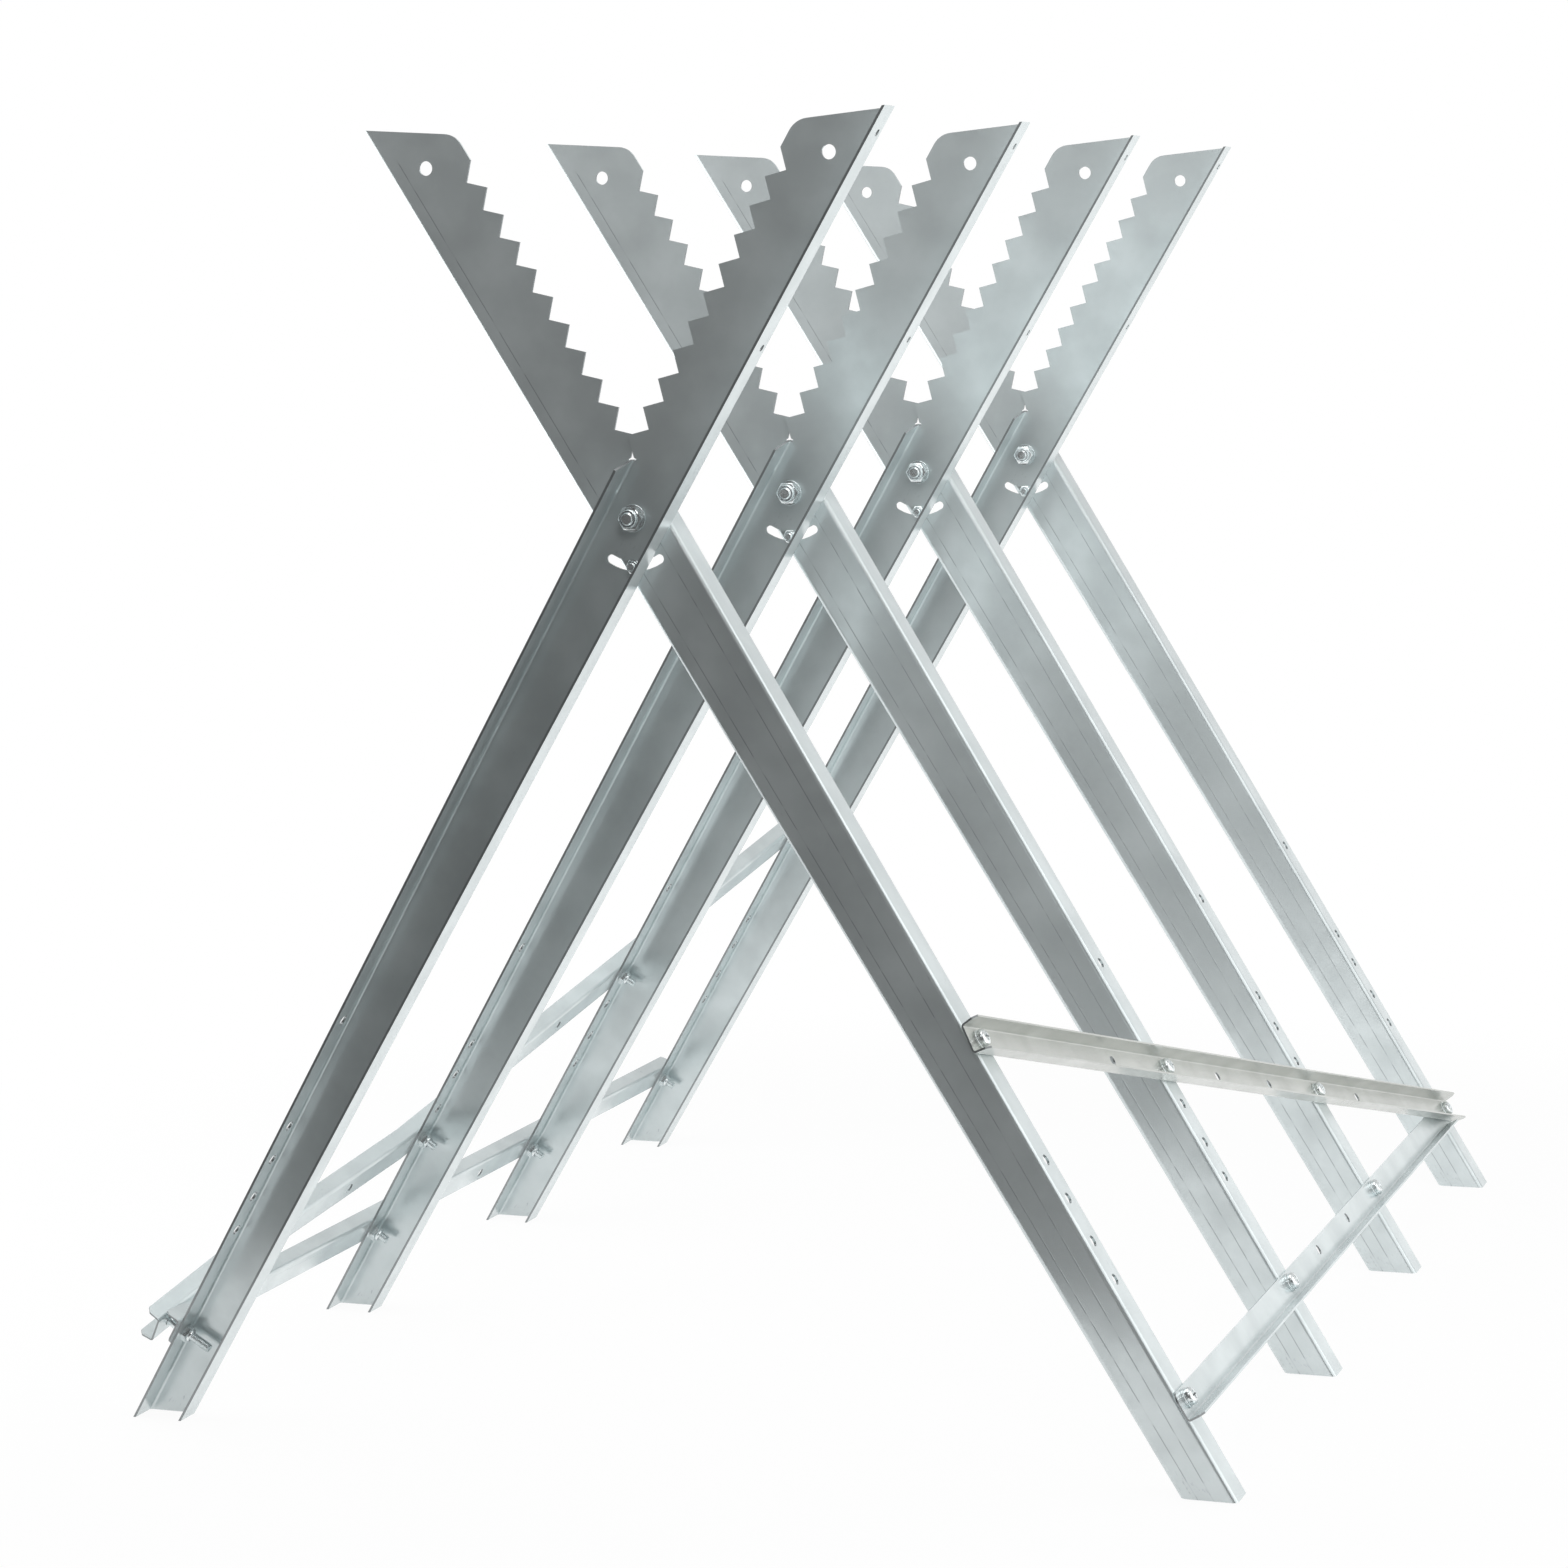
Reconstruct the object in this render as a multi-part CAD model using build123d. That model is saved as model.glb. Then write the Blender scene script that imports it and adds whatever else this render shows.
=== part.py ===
from build123d import *
import math
import os

# Folding log sawhorse: four crossed frames of folded sheet-steel legs, braced into two swinging sets.
# Millimetres and degrees. The row of frames runs along Y, the feet spread along X, the floor is Z = 0.

# Overall sizes
FRAME_COUNT = 4
FRAME_PITCH = 262.0  # from one crossed frame to the next
PIVOT_HEIGHT = 560.0  # pivot line above the floor when open
LEG_ANGLE = 31.5  # lean of each leg from upright when open

# Leg sheet and folds, measured across the leg from the pivot
LEG_SHEET = 1.5
LEG_FOLD_RADIUS = 1.5  # inside radius
FLANGE_DEPTH = 20.0
LONG_EDGE = 22.0  # outside of the long flange
SHORT_EDGE = 17.8  # outside of the short flange, level with the pivot
SHORT_TAPER = 0.96  # lean of the short flange, which narrows the leg towards its foot

# Toothed jaw, measured up the leg from the pivot
TOOTH_PITCH = 18.86
TOOTH_COUNT = 10
TOOTH_EDGE = 26.6  # tooth tips, across from the pivot
LOWEST_NOTCH = 30.5
NOTCH_RELIEF = 1.2  # gap between the lowest notch and the end of the short flange
FLANGE_END_DROP = 6.6  # fall of the short flange's slanted end at its free edge
JAW_HEAD = 52.9  # from the top notch shoulder to the tip of the long flange
JAW_SLOPE = 36.0  # slope of the top edge from square
JAW_CORNER = 14.0  # radius
JAW_HOLE = 8.5
JAW_HOLE_ABOVE_SHOULDER = 11.8
LONG_FLANGE_HOLE = 4.3
LONG_FLANGE_HOLE_DEPTH = 8.0  # from the web's outer face
LONG_FLANGE_HOLES_BELOW_TIP = (17.0, 155.0)

# Pivot bolts and the stop bolts in the arc slots
PIVOT_BOLT = 8.0
PIVOT_BOLT_LENGTH = 16.0
PIVOT_FIT = 0.1  # radial clearance in the legs
STOP_BOLT = 5.0
STOP_BOLT_LENGTH = 10.0
STOP_RADIUS = 28.0  # from pivot to stop bolt
STOP_FIT = 0.3  # radial clearance in the slots
RUNNING_GAP = 0.1  # between flat faces that slide on each other, on each side

# Braces and their holes in the short flange
BRACE_SHEET = 1.2
BRACE_FOLD_RADIUS = 1.0
LOWEST_BRACE_HOLE = 60.4  # up the leg from the floor
BRACE_RISE = 78.3  # climb of the diagonal from one frame to the next
SPARE_LEG_HOLES = (1.32, 1.68)  # unused holes, in steps of the rise
ANGLE_WEB = 18.0
ANGLE_FLANGE = 11.0
ANGLE_BOLT_TO_EDGE = 7.0  # bolt line to the free edge of the web
ANGLE_CORNER = 6.0  # radius
CHANNEL_WEB = 18.5
CHANNEL_FLANGE = 11.0
CHANNEL_OPENING = 7.5  # outward lean of its flanges
BRACE_END = 14.0  # past the end bolts
FLANGE_CHAMFER = 3.0  # corners of the brace flanges
JOGGLE_START = 3.0  # past the angle brace it crosses
JOGGLE_END = 20.0  # short of the next bolt
SPARE_ANGLE_HOLES = (1.33, 1.67)  # in steps of the frame pitch
SPARE_CHANNEL_HOLES = (0.7, 1.33, 1.67, 2.3)
BRACE_BOLT = 6.0
BRACE_BOLT_LENGTH = 16.0
SHARED_BOLT_LENGTH = 25.0  # through both braces where they lie flat
STAND_OFF_BOLT_LENGTH = 35.0  # where the diagonal stands on the flange of the angle brace
BRACE_BOLT_FIT = 0.4  # radial clearance in legs and braces

# Heads, nuts and washers
PIVOT_HEX = 13.0  # across flats, bolt head and nut
PIVOT_HEAD_HEIGHT = 5.3
PIVOT_NUT_HEIGHT = 8.0
PIVOT_WASHER = 16.0
STOP_HEX = 8.0
STOP_HEAD_HEIGHT = 3.5
STOP_NUT_HEIGHT = 5.0
BRACE_NUT_HEX = 10.0
BRACE_NUT_HEIGHT = 6.0
BRACE_WASHER = 12.0
WASHER_THICKNESS = 1.6
PAN_HEAD_DIAMETER = 11.0
PAN_HEAD_HEIGHT = 4.0
PAN_HEAD_BEVEL = 2.0
CROSS_LENGTH = 5.6
CROSS_WIDTH = 1.2
CROSS_DEPTH = 2.2
THREAD_GAP = 0.1  # radial clearance of nuts and washers on their bolts

# Sizes that follow from the ones above
BEND = LEG_SHEET + LEG_FOLD_RADIUS
SHOULDER = LOWEST_NOTCH + (TOOTH_COUNT + 0.5) * TOOTH_PITCH
JAW_TIP = SHOULDER + JAW_HEAD
NOTCH_EDGE = TOOTH_EDGE - TOOTH_PITCH / 2
FLOOR_LINE = PIVOT_HEIGHT / math.cos(math.radians(LEG_ANGLE))
FOOT_END = -FLOOR_LINE - 2 * LONG_EDGE
BRACE_DROP = FLOOR_LINE - LOWEST_BRACE_HOLE
ROW = [(frame - (FRAME_COUNT - 1) / 2) * FRAME_PITCH for frame in range(FRAME_COUNT)]
DIAGONAL_ANGLE = math.degrees(math.atan2(BRACE_RISE, FRAME_PITCH))
DIAGONAL_STEP = math.hypot(BRACE_RISE, FRAME_PITCH)
SPAN = FRAME_COUNT - 1
FAR = 1000.0  # size of cutting blocks

# Legs are drawn upright with the pivot at the origin, X towards the long flange, Z into the channel.
SHORT_FOLD = Pos(-SHORT_EDGE, 0, 0) * Rot(0, 0, SHORT_TAPER)


def angle_section(web, flange, sheet, radius):
    """L section with its outside corner at the origin, the web along X and the flange along Y."""
    section = Pos(web / 2, sheet / 2) * Rectangle(web, sheet)
    section += Pos(sheet / 2, flange / 2) * Rectangle(sheet, flange)
    section = fillet(section.vertices().sort_by_distance((0, 0, 0))[0], radius + sheet)
    return fillet(section.vertices().sort_by_distance((sheet, sheet, 0))[0], radius)


def channel_section():
    """U section with its web centred on X and standing on it, the flanges leaning outward along Y."""
    lean = math.tan(math.radians(CHANNEL_OPENING))
    side_wall = BRACE_SHEET / math.cos(math.radians(CHANNEL_OPENING))

    def trough(half_web, bottom, radius):
        half_mouth = half_web + (CHANNEL_FLANGE - bottom) * lean
        points = [(-half_web, bottom), (half_web, bottom)]
        points += [(half_mouth, CHANNEL_FLANGE), (-half_mouth, CHANNEL_FLANGE)]
        face = make_face(Polyline(*points, close=True))
        return fillet(face.vertices().group_by(Axis.Y)[0], radius)

    outside = trough(CHANNEL_WEB / 2, 0, BRACE_FOLD_RADIUS + BRACE_SHEET)
    half_inside = CHANNEL_WEB / 2 + BRACE_SHEET * lean - side_wall
    return outside - trough(half_inside, BRACE_SHEET, BRACE_FOLD_RADIUS)


def web_outline():
    """Flat of a leg between its folds, with the toothed edge and the sloping top of the jaw."""
    def inside_short_fold(along):
        return BEND - SHORT_EDGE - along * math.tan(math.radians(SHORT_TAPER))

    def top_edge(across):
        return JAW_TIP - (LONG_EDGE - across) * math.tan(math.radians(JAW_SLOPE))

    corner = (-TOOTH_EDGE, top_edge(-TOOTH_EDGE))
    points = [(LONG_EDGE - BEND, FOOT_END), (LONG_EDGE - BEND, top_edge(LONG_EDGE - BEND))]
    points += [corner, (-TOOTH_EDGE, SHOULDER)]
    for tooth in reversed(range(TOOTH_COUNT)):
        notch = LOWEST_NOTCH + (tooth + 1) * TOOTH_PITCH
        points += [(-NOTCH_EDGE, notch), (-TOOTH_EDGE, notch - TOOTH_PITCH / 2)]
    points += [(-NOTCH_EDGE, LOWEST_NOTCH), (inside_short_fold(LOWEST_NOTCH), LOWEST_NOTCH)]
    points += [(inside_short_fold(FOOT_END), FOOT_END)]
    outline = make_face(Polyline(*points, close=True))
    return fillet(outline.vertices().sort_by_distance((*corner, 0))[0], JAW_CORNER)


def short_flange():
    """Short fold with its brace holes, drawn along Y with the outside corner on the Y axis."""
    top = LOWEST_NOTCH - NOTCH_RELIEF
    section_plane = Plane(origin=(0, top, 0), x_dir=(1, 0, 0), z_dir=(0, -1, 0))
    section = angle_section(2 * BEND, FLANGE_DEPTH, LEG_SHEET, LEG_FOLD_RADIUS)
    flange = extrude(section_plane * section, top - FOOT_END)
    slant = math.degrees(math.atan2(FLANGE_END_DROP, FLANGE_DEPTH))
    flange -= Pos(0, top, 0) * Rot(slant, 0, 0) * Pos(0, FAR / 2, 0) * Box(FAR, FAR, FAR)
    steps = sorted([*range(FRAME_COUNT), *SPARE_LEG_HOLES])
    for step in steps:
        hole = Rot(0, 90, 0) * Cylinder(BRACE_BOLT / 2 + BRACE_BOLT_FIT, 4 * LEG_SHEET)
        flange -= Pos(0, step * BRACE_RISE - BRACE_DROP, FLANGE_DEPTH / 2) * hole
    return flange


def long_flange():
    """Long fold from the foot to the tip of the jaw, with its two small holes."""
    section_plane = Plane(origin=(LONG_EDGE, FOOT_END, 0), x_dir=(-1, 0, 0), z_dir=(0, 1, 0))
    section = angle_section(2 * BEND, FLANGE_DEPTH, LEG_SHEET, LEG_FOLD_RADIUS)
    flange = extrude(section_plane * section, JAW_TIP - FOOT_END)
    above_top = Rot(0, 0, JAW_SLOPE) * Pos(0, FAR / 2, 0) * Box(FAR, FAR, FAR)
    flange -= Pos(LONG_EDGE, JAW_TIP, 0) * above_top
    for below_tip in LONG_FLANGE_HOLES_BELOW_TIP:
        hole = Rot(0, 90, 0) * Cylinder(LONG_FLANGE_HOLE / 2, 4 * LEG_SHEET)
        flange -= Pos(LONG_EDGE, JAW_TIP - below_tip, LONG_FLANGE_HOLE_DEPTH) * hole
    return flange


def leg():
    """One folded leg: flat web, long flange, tapered short flange, jaw, pivot hole and arc slot."""
    holes = Circle(PIVOT_BOLT / 2 + PIVOT_FIT)
    holes += Pos(0, SHOULDER + JAW_HOLE_ABOVE_SHOULDER) * Circle(JAW_HOLE / 2)
    slot_line = CenterArc((0, 0), STOP_RADIUS, -90, LEG_ANGLE)
    holes += SlotArc(slot_line, STOP_BOLT + 2 * STOP_FIT)
    body = extrude(web_outline(), LEG_SHEET) + long_flange() + SHORT_FOLD * short_flange()
    body -= extrude(holes, LEG_SHEET)
    below_floor = Rot(0, 0, LEG_ANGLE) * Pos(0, -PIVOT_HEIGHT - FAR / 2, 0)
    return body - below_floor * Box(2 * FAR, FAR, FAR)


def cut_flange_corner(brace, end_x, free_edge):
    """Take the corner off the flanges of a brace that lies along X with its web facing Z."""
    side = FLANGE_CHAMFER * math.sqrt(2)
    return brace - Pos(end_x, 0, free_edge) * Rot(0, 45, 0) * Box(side, FAR, side)


def brace_hole(x):
    return Pos(x, 0, 0) * Cylinder(BRACE_BOLT / 2 + BRACE_BOLT_FIT, 4 * ANGLE_FLANGE)


def lower_flange_clearance(fold):
    """How far short of the shared bolt a flange below the diagonal ends, to clear the diagonal's tail."""
    slope = math.radians(DIAGONAL_ANGLE)
    mouth = CHANNEL_WEB / 2 + CHANNEL_FLANGE * math.tan(math.radians(CHANNEL_OPENING))
    return (mouth / math.cos(slope) + 2 * BRACE_SHEET - fold) / math.tan(slope)


def angle_brace(flange_up):
    """Low brace with its shared bolt at the origin, the other bolts along -X and Z facing outward."""
    fold = ANGLE_WEB - ANGLE_BOLT_TO_EDGE
    far_end = -SPAN * FRAME_PITCH - BRACE_END
    flange_end = BRACE_END
    section_plane = Plane(origin=(far_end, -fold, 0), x_dir=(0, 1, 0), z_dir=(1, 0, 0))
    section = angle_section(ANGLE_WEB, ANGLE_FLANGE, BRACE_SHEET, BRACE_FOLD_RADIUS)
    brace = extrude(section_plane * section, BRACE_END - far_end)
    free_corners = brace.edges().filter_by(Axis.Z).group_by(Axis.Y)[-1]
    brace = fillet(free_corners, ANGLE_CORNER)
    if flange_up:
        brace = mirror(brace, Plane.XZ)
    else:
        flange_end = -lower_flange_clearance(fold)
        brace -= Pos(flange_end + FAR / 2, 0, BRACE_SHEET + FAR / 2) * Box(FAR, FAR, FAR)
    brace = cut_flange_corner(brace, flange_end, ANGLE_FLANGE)
    brace = cut_flange_corner(brace, far_end, ANGLE_FLANGE)
    for step in [*range(FRAME_COUNT), *SPARE_ANGLE_HOLES]:
        brace -= brace_hole(-step * FRAME_PITCH)
    return brace


def diagonal_brace(stand_off, crossed_edge):
    """Channel brace along X from its shared bolt, joggled down to Z = 0 past the edge that it crosses."""
    slope = math.radians(DIAGONAL_ANGLE)
    crossing = (crossed_edge + CHANNEL_WEB / 2 * math.cos(slope)) / math.sin(slope)
    far_end = SPAN * DIAGONAL_STEP + BRACE_END
    bends = [(crossing + JOGGLE_START, 0, stand_off), (DIAGONAL_STEP - JOGGLE_END, 0, 0)]
    path = Polyline((-BRACE_END, 0, stand_off), *bends, (far_end, 0, 0))
    section_plane = Plane(origin=(-BRACE_END, 0, stand_off), x_dir=(0, 1, 0), z_dir=(1, 0, 0))
    brace = sweep(section_plane * channel_section(), path, transition=Transition.RIGHT)
    brace = cut_flange_corner(brace, -BRACE_END, stand_off + CHANNEL_FLANGE)
    brace = cut_flange_corner(brace, far_end, CHANNEL_FLANGE)
    for step in [*range(FRAME_COUNT), *SPARE_CHANNEL_HOLES]:
        brace -= brace_hole(step * DIAGONAL_STEP)
    return brace


def shank(diameter, length):
    """Plain shank hanging from Z = 0."""
    return Pos(0, 0, -length / 2) * Cylinder(diameter / 2, length)


def hexagon(across_flats, height):
    """Hexagonal block standing on Z = 0."""
    return extrude(RegularPolygon(across_flats / 2, 6, major_radius=False), height)


def hex_bolt(diameter, length, across_flats, head_height):
    """Hexagon-head bolt with its head standing on Z = 0."""
    return hexagon(across_flats, head_height) + shank(diameter, length)


def pan_bolt(diameter, length):
    """Cross-recessed pan-head bolt with its head standing on Z = 0."""
    head = Pos(0, 0, PAN_HEAD_HEIGHT / 2) * Cylinder(PAN_HEAD_DIAMETER / 2, PAN_HEAD_HEIGHT)
    head = chamfer(head.edges().group_by(Axis.Z)[-1], PAN_HEAD_BEVEL)
    cross = Box(CROSS_LENGTH, CROSS_WIDTH, 2 * CROSS_DEPTH) + Box(CROSS_WIDTH, CROSS_LENGTH, 2 * CROSS_DEPTH)
    return head + shank(diameter, length) - Pos(0, 0, PAN_HEAD_HEIGHT) * cross


def lock_nut(diameter, across_flats, height):
    """Lock nut standing on Z = 0, a hexagon below a round collar."""
    nut = hexagon(across_flats, 0.7 * height)
    nut += Pos(0, 0, height / 2) * Cylinder(0.43 * across_flats, height)
    return nut - Pos(0, 0, height / 2) * Cylinder(diameter / 2 + THREAD_GAP, 2 * height)


def washer(diameter, outside):
    """Flat washer standing on Z = 0."""
    ring = Circle(outside / 2) - Circle(diameter / 2 + THREAD_GAP)
    return extrude(ring, WASHER_THICKNESS)


def left_leg_frame(y):
    slope = math.radians(LEG_ANGLE)
    across = (math.cos(slope), 0, -math.sin(slope))
    return Plane(origin=(0, y - RUNNING_GAP, PIVOT_HEIGHT), x_dir=across, z_dir=(0, -1, 0)).location


def right_leg_frame(y):
    return Rot(0, 0, 180) * left_leg_frame(-y)


def front_face(y, outward):
    """Place on the pivot line facing the -Y end, so far out from the middle of a frame."""
    return Plane(origin=(0, y - outward, PIVOT_HEIGHT), x_dir=(1, 0, 0), z_dir=(0, -1, 0)).location


def back_face(y, outward):
    return Plane(origin=(0, y + outward, PIVOT_HEIGHT), x_dir=(-1, 0, 0), z_dir=(0, 1, 0)).location


def brace_side(leg_frame, flange_up):
    """Both braces of one side with their bolts, washers and nuts, by role."""
    shared = leg_frame * SHORT_FOLD * Pos(0, -BRACE_DROP, FLANGE_DEPTH / 2) * Rot(0, -90, 0)
    diagonal = shared * Rot(0, 0, 180 - DIAGONAL_ANGLE)
    if flange_up:
        stand_off = ANGLE_FLANGE
        crossed_edge = ANGLE_WEB - ANGLE_BOLT_TO_EDGE
        shared_length = STAND_OFF_BOLT_LENGTH
    else:
        stand_off = BRACE_SHEET
        crossed_edge = ANGLE_BOLT_TO_EDGE
        shared_length = SHARED_BOLT_LENGTH
    seat = Pos(0, 0, BRACE_SHEET)
    shared_seat = diagonal * Pos(0, 0, stand_off) * seat
    low_seats = [shared * Pos(-step * FRAME_PITCH, 0, 0) * seat for step in range(1, FRAME_COUNT)]
    high_seats = [diagonal * Pos(step * DIAGONAL_STEP, 0, 0) * seat for step in range(1, FRAME_COUNT)]
    nut_points = [(step, 0) for step in range(1, FRAME_COUNT)]
    nut_points += [(step, step) for step in range(1, FRAME_COUNT)]
    inside = Pos(0, 0, -LEG_SHEET) * Rot(180, 0, 0)
    nuts = [Pos(-across * FRAME_PITCH, up * BRACE_RISE, 0) * inside for across, up in nut_points]
    on_washer = Pos(0, 0, WASHER_THICKNESS)
    short_bolt = pan_bolt(BRACE_BOLT, BRACE_BOLT_LENGTH)
    flat_washer = washer(BRACE_BOLT, BRACE_WASHER)
    nut = lock_nut(BRACE_BOLT, BRACE_NUT_HEX, BRACE_NUT_HEIGHT)
    return {
        "lower_brace": [shared * angle_brace(flange_up)],
        "diagonal_brace": [diagonal * diagonal_brace(stand_off, crossed_edge)],
        "brace_bolts": [place * on_washer * short_bolt for place in low_seats + high_seats],
        "brace_washers": [place * flat_washer for place in low_seats + high_seats],
        "brace_nuts": [shared * place * nut for place in nuts],
        "shared_bolt": [shared_seat * on_washer * pan_bolt(BRACE_BOLT, shared_length)],
        "shared_bolt_washer": [shared_seat * flat_washer],
        "shared_bolt_nut": [shared * inside * nut],
    }


def pivot_hardware():
    """Bolts, washers and nuts on the pivot line, and the stop bolts below it, by role."""
    web = RUNNING_GAP + LEG_SHEET
    seat = web + RUNNING_GAP
    stop = Pos(0, -STOP_RADIUS, 0)
    pivot_bolt = hex_bolt(PIVOT_BOLT, PIVOT_BOLT_LENGTH, PIVOT_HEX, PIVOT_HEAD_HEIGHT)
    pivot_nut = lock_nut(PIVOT_BOLT, PIVOT_HEX, PIVOT_NUT_HEIGHT)
    pivot_washer = washer(PIVOT_BOLT, PIVOT_WASHER)
    stop_bolt = hex_bolt(STOP_BOLT, STOP_BOLT_LENGTH, STOP_HEX, STOP_HEAD_HEIGHT)
    stop_nut = lock_nut(STOP_BOLT, STOP_HEX, STOP_NUT_HEIGHT)
    return {
        "pivot_bolts": [back_face(y, seat + WASHER_THICKNESS) * pivot_bolt for y in ROW],
        "pivot_head_washers": [back_face(y, seat) * pivot_washer for y in ROW],
        "pivot_nut_washers": [front_face(y, web) * pivot_washer for y in ROW],
        "pivot_nuts": [front_face(y, web + WASHER_THICKNESS) * pivot_nut for y in ROW],
        "stop_bolts": [back_face(y, seat) * stop * stop_bolt for y in ROW],
        "stop_nuts": [front_face(y, seat) * stop * stop_nut for y in ROW],
    }


nodes = pivot_hardware()
folded_leg = leg()
for number, y in enumerate(ROW, start=1):
    nodes[f"left_leg_{number}"] = [left_leg_frame(y) * folded_leg]
    nodes[f"right_leg_{number}"] = [right_leg_frame(y) * folded_leg]
for role, solids in brace_side(left_leg_frame(ROW[0]), flange_up=True).items():
    nodes[f"left_{role}"] = solids
for role, solids in brace_side(right_leg_frame(ROW[-1]), flange_up=False).items():
    nodes[f"right_{role}"] = solids

os.makedirs("parts", exist_ok=True)
for name, solids in nodes.items():
    export_step(Compound(label=name, children=solids), f"parts/{name}.step")
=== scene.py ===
import math

import bmesh
import bpy
from mathutils import Matrix, Vector


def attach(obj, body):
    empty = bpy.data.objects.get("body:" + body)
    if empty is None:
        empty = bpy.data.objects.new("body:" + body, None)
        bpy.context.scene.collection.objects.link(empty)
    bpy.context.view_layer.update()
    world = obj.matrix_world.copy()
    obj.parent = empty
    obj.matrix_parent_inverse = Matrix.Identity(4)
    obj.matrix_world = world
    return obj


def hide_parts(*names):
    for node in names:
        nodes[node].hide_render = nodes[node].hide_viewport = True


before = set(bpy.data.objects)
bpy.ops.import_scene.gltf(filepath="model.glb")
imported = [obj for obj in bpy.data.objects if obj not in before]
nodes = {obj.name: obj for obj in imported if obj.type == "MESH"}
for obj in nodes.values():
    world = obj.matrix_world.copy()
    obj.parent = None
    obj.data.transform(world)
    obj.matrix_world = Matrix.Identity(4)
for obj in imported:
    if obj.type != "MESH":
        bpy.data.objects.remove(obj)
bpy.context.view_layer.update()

# Log sawhorse of bright zinc-coated sheet steel on a white studio floor.
# Sizes are millimetres, as in the part's source, and become metres through MM.
MM = 0.001

# Frames and legs
FRAME_COUNT = 4
FRAME_PITCH = 262.0
PIVOT_HEIGHT = 560.0
LEG_ANGLE = 31.5
LEG_SHEET = 1.5
LEG_BEND = 3.0  # outside radius of the folds
FLANGE_DEPTH = 20.0
LONG_EDGE = 22.0
SHORT_EDGE = 17.8
SHORT_TAPER = 0.96
JAW_TIP = 281.4
RUNNING_GAP = 0.1
ROW = [(index - (FRAME_COUNT - 1) / 2) * FRAME_PITCH for index in range(FRAME_COUNT)]

# Braces
BRACE_SHEET = 1.2
ANGLE_FLANGE = 11.0
LOWEST_BRACE_HOLE = 60.4
BRACE_DROP = PIVOT_HEIGHT / math.cos(math.radians(LEG_ANGLE)) - LOWEST_BRACE_HOLE
BRACE_RISE = 78.3
DIAGONAL_ANGLE = math.degrees(math.atan2(BRACE_RISE, FRAME_PITCH))
DIAGONAL_STEP = math.hypot(BRACE_RISE, FRAME_PITCH)

# Fasteners, by nominal diameter
STOP_BOLT = 5
BRACE_BOLT = 6
PIVOT_BOLT = 8
ACROSS_FLATS = {STOP_BOLT: 8.0, BRACE_BOLT: 10.0, PIVOT_BOLT: 13.0}
HEX_HEAD_HEIGHT = {STOP_BOLT: 3.5, PIVOT_BOLT: 5.3}
LOCK_NUT_HEIGHT = {STOP_BOLT: 5.0, BRACE_BOLT: 6.0, PIVOT_BOLT: 8.0}
THREAD_PITCH = {STOP_BOLT: 0.8, BRACE_BOLT: 1.0, PIVOT_BOLT: 1.25}
WASHER_DIAMETER = {BRACE_BOLT: 12.0, PIVOT_BOLT: 16.0}
WASHER_THICKNESS = 1.6
WASHER_EDGE = 0.2
STOP_RADIUS = 28.0

# Length of each bolt under its head, and length of its thread
PIVOT_LENGTHS = (16.0, 7.0)
STOP_LENGTHS = (10.0, 6.0)
SHORT_LENGTHS = (16.0, 7.0)
SHARED_LENGTHS = {"left": (35.0, 20.0), "right": (25.0, 15.0)}

# Threads and shanks
THREAD_GAP = 0.1  # between a bolt and what is screwed or slipped on it
CREST_GAP = 0.04  # between the crest of a thread and the nominal size
THREAD_DEPTH = 0.58  # as a share of the pitch
THREAD_TAPER = 0.7  # length of the tapered end, as a share of the pitch
ROWS_PER_TURN = 8
SHANK_FILLET = 0.25

# Hexagon heads and lock nuts. Shares of radii are of the width across flats.
HEX_CHAMFER = math.tan(math.radians(30))
HEAD_FACE = 0.46
HEAD_FACE_RISE = 0.3
HEAD_CHAMFER_DROP = 0.15
HEAD_TOP = 0.47
HEAD_DISH = 0.40
HEAD_DISH_DROP = 0.02
NUT_FACE = 0.47
NUT_BORE_CHAMFER = (0.06, 0.04)  # across and along, as shares of the nut's height
NUT_CHAMFER_RISE = (0.02, 0.03)  # at the lower and upper end of the hexagon, as shares of the height
NUT_HEX_TOP = 0.7  # share of the nut's height
NUT_COLLAR = [(0.475, 0.70), (0.43, 0.72), (0.43, 0.90), (0.415, 0.96), (0.385, 1.0), (0.355, 0.985)]
NUT_INSERT_EDGE = (0.345, 0.94)
NUT_INSERT_LIP = (0.3, 0.955)  # radius in millimetres past the bore, height as a share of the nut
NUT_INSERT_BORE = 0.92

# Pan heads with a cross recess
PAN_HEAD_DIAMETER = 11.0
PAN_HEAD_HEIGHT = 4.0
PAN_HEAD_SIDE = 1.5
PAN_HEAD_EDGE = (0.3, 0.35)  # inwards and up
PAN_SEAT_INSET = 0.5
PAN_DOME_REACH = 2.9
PAN_DOME_STEPS = 8
PAN_DOME_STEP = 11.0  # degrees
# Reach, half width and height of each level of the cross, from above the head to its floor
CROSS_LEVELS = [(2.9, 0.72, PAN_HEAD_HEIGHT + 0.5), (2.75, 0.62, PAN_HEAD_HEIGHT), (1.1, 0.45, 1.7)]

# Meshing
ROUND = 48  # corners in a circle, a multiple of six for the hexagons
SHARP_ANGLE = 32.0
MERGE_DISTANCE = 0.01

# Marks of the forming tool on the webs, from the outside of each fold
SHORT_DIE_LINE = 11.8
LONG_DIE_LINE = 9.0
DIE_LINE_WIDTH = 0.55
DIE_LINE_BELOW_TIP = 27.0
DIE_LINE_BREAKS = (300.0, 60.0, 300.0)
DIE_LINE_BREAK_SPAN = (0.36, 0.52)
DIE_LINE_FAINTEST = 0.2
DIE_LINE_DEPTH = 0.04
DIE_LINE_SHARE = 0.5

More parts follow.
